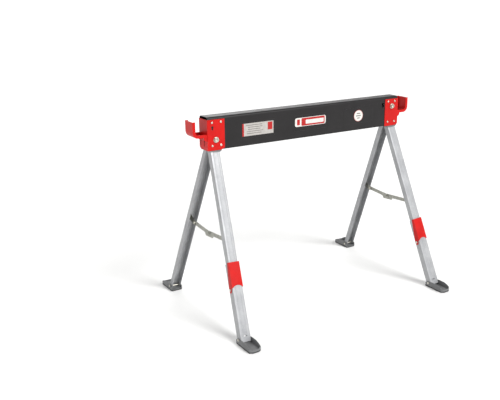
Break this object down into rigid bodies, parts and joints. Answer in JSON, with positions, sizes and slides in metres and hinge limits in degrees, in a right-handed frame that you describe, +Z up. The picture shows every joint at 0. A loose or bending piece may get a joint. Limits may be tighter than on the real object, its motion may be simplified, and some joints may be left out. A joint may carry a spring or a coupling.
{
  "type": "folding sawhorse",
  "caption": "Folding steel sawhorse: channel beam with timber cradles at its ends, splayed legs with folding braces, telescoping near legs with lock levers, and swivelling feet.",
  "frame": {"origin": "on the floor, under the middle of the beam", "axes": "+X along the beam, -Y towards the side with the telescoping legs, +Z up"},
  "size_m": [1.0806, 0.7726, 0.821],
  "materials": {
    "black_powder_coat": "satin",
    "red_powder_coat": "satin",
    "silver_powder_coat": "satin",
    "zinc_plate": "satin",
    "bright_zinc": "gloss",
    "grey_pressed_steel": "matte",
    "black_rubber": "matte"
  },
  "bodies": {
    "beam": {"top_beam": "black_powder_coat", "left_end_bracket": "red_powder_coat", "right_end_bracket": "red_powder_coat", "left_pivot_bolt": "bright_zinc", "right_pivot_bolt": "bright_zinc", "left_pivot_nut": "bright_zinc", "right_pivot_nut": "bright_zinc", "left_leg_carrier": "grey_pressed_steel", "right_leg_carrier": "grey_pressed_steel", "near_left_hinge_pin": "zinc_plate", "near_right_hinge_pin": "zinc_plate", "far_left_hinge_pin": "zinc_plate", "far_right_hinge_pin": "zinc_plate"},
    "left_cradle": {"left_timber_cradle": "red_powder_coat"},
    "right_cradle": {"right_timber_cradle": "red_powder_coat"},
    "near_left_upper": {"near_left_upper_leg": "silver_powder_coat", "near_left_brace_bracket": "zinc_plate", "near_left_brace_rivet": "bright_zinc"},
    "near_right_upper": {"near_right_upper_leg": "silver_powder_coat", "near_right_brace_bracket": "zinc_plate", "near_right_brace_rivet": "bright_zinc"},
    "near_left_lower": {"near_left_lower_leg": "silver_powder_coat", "near_left_lever_rivet_left": "bright_zinc", "near_left_lever_rivet_right": "bright_zinc", "near_left_ankle_pin": "bright_zinc"},
    "near_right_lower": {"near_right_lower_leg": "silver_powder_coat", "near_right_lever_rivet_left": "bright_zinc", "near_right_lever_rivet_right": "bright_zinc", "near_right_ankle_pin": "bright_zinc"},
    "near_left_lever": {"near_left_lock_lever": "red_powder_coat"},
    "near_right_lever": {"near_right_lock_lever": "red_powder_coat"},
    "far_left": {"far_left_leg": "silver_powder_coat", "far_left_brace_bracket": "zinc_plate", "far_left_brace_rivet": "bright_zinc", "far_left_ankle_pin": "bright_zinc"},
    "far_right": {"far_right_leg": "silver_powder_coat", "far_right_brace_bracket": "zinc_plate", "far_right_brace_rivet": "bright_zinc", "far_right_ankle_pin": "bright_zinc"},
    "near_left_link": {"near_left_brace_link": "zinc_plate", "left_brace_middle_rivet": "bright_zinc"},
    "near_right_link": {"near_right_brace_link": "zinc_plate", "right_brace_middle_rivet": "bright_zinc"},
    "far_left_link": {"far_left_brace_link": "zinc_plate"},
    "far_right_link": {"far_right_brace_link": "zinc_plate"},
    "near_left_shoe": {"near_left_foot": "grey_pressed_steel", "near_left_foot_sole": "black_rubber"},
    "near_right_shoe": {"near_right_foot": "grey_pressed_steel", "near_right_foot_sole": "black_rubber"},
    "far_left_shoe": {"far_left_foot": "grey_pressed_steel", "far_left_foot_sole": "black_rubber"},
    "far_right_shoe": {"far_right_foot": "grey_pressed_steel", "far_right_foot_sole": "black_rubber"}
  },
  "joints": [
    {"name": "left_cradle_lift", "type": "slide", "parent": "beam", "child": "left_cradle", "axis": [0, 0, 1], "range_m": [0, 0.012]},
    {"name": "right_cradle_lift", "type": "slide", "parent": "beam", "child": "right_cradle", "axis": [0, 0, 1], "range_m": [0, 0.012]},
    {"name": "near_left_leg_fold", "type": "hinge", "parent": "beam", "child": "near_left_upper", "pos_m": [-0.44598, -0.0136, 0.693], "axis": [0.998, 0, -0.0628], "range_deg": [0, 21.5]},
    {"name": "far_left_leg_fold", "type": "hinge", "parent": "beam", "child": "far_left", "pos_m": [-0.44598, 0.0136, 0.693], "axis": [0.998, 0, -0.0628], "range_deg": [-21.5, 0]},
    {"name": "near_right_leg_fold", "type": "hinge", "parent": "beam", "child": "near_right_upper", "pos_m": [0.44889, -0.0136, 0.693], "axis": [0.998, 0, 0.0628], "range_deg": [0, 21.5]},
    {"name": "far_right_leg_fold", "type": "hinge", "parent": "beam", "child": "far_right", "pos_m": [0.44889, 0.0136, 0.693], "axis": [0.998, 0, 0.0628], "range_deg": [-21.5, 0]},
    {"name": "near_left_link_fold", "type": "hinge", "parent": "near_left_upper", "child": "near_left_link", "pos_m": [-0.46702, -0.11998, 0.35859], "axis": [0.998, 0, -0.0628], "range_deg": [0, 77.4]},
    {"name": "far_left_link_fold", "type": "hinge", "parent": "far_left", "child": "far_left_link", "pos_m": [-0.46702, 0.11998, 0.35859], "axis": [0.998, 0, -0.0628], "range_deg": [-77.4, 0]},
    {"name": "near_right_link_fold", "type": "hinge", "parent": "near_right_upper", "child": "near_right_link", "pos_m": [0.46993, -0.11998, 0.35859], "axis": [0.998, 0, 0.0628], "range_deg": [0, 77.4]},
    {"name": "far_right_link_fold", "type": "hinge", "parent": "far_right", "child": "far_right_link", "pos_m": [0.46993, 0.11998, 0.35859], "axis": [0.998, 0, 0.0628], "range_deg": [-77.4, 0]},
    {"name": "near_left_leg_extend", "type": "slide", "parent": "near_left_upper", "child": "near_left_lower", "axis": [-0.0578, -0.3907, -0.9187], "range_m": [0, 0.1]},
    {"name": "near_right_leg_extend", "type": "slide", "parent": "near_right_upper", "child": "near_right_lower", "axis": [0.0578, -0.3907, -0.9187], "range_m": [0, 0.1]},
    {"name": "near_left_lever_open", "type": "hinge", "parent": "near_left_lower", "child": "near_left_lever", "pos_m": [-0.47755, -0.22379, 0.19114], "axis": [0.998, 0, -0.0628], "range_deg": [0, 40]},
    {"name": "near_right_lever_open", "type": "hinge", "parent": "near_right_lower", "child": "near_right_lever", "pos_m": [0.48047, -0.22379, 0.19114], "axis": [0.998, 0, 0.0628], "range_deg": [0, 40]},
    {"name": "near_left_foot_swivel", "type": "hinge", "parent": "near_left_lower", "child": "near_left_shoe", "pos_m": [-0.48838, -0.30026, 0.019], "axis": [0.998, 0, -0.0628], "range_deg": [-22, 40]},
    {"name": "near_right_foot_swivel", "type": "hinge", "parent": "near_right_lower", "child": "near_right_shoe", "pos_m": [0.4913, -0.30026, 0.019], "axis": [0.998, 0, 0.0628], "range_deg": [-22, 40]},
    {"name": "far_left_foot_swivel", "type": "hinge", "parent": "far_left", "child": "far_left_shoe", "pos_m": [-0.48838, 0.30026, 0.019], "axis": [0.998, 0, -0.0628], "range_deg": [-40, 22]},
    {"name": "far_right_foot_swivel", "type": "hinge", "parent": "far_right", "child": "far_right_shoe", "pos_m": [0.4913, 0.30026, 0.019], "axis": [0.998, 0, 0.0628], "range_deg": [-40, 22]}
  ],
  "couplings": [
    {"joint": "far_left_leg_fold", "follows": "near_left_leg_fold", "ratio": -1},
    {"joint": "near_left_link_fold", "follows": "near_left_leg_fold", "ratio": 3.599},
    {"joint": "far_left_link_fold", "follows": "near_left_leg_fold", "ratio": -3.599},
    {"joint": "far_right_leg_fold", "follows": "near_right_leg_fold", "ratio": -1},
    {"joint": "near_right_link_fold", "follows": "near_right_leg_fold", "ratio": 3.599},
    {"joint": "far_right_link_fold", "follows": "near_right_leg_fold", "ratio": -3.599}
  ]
}
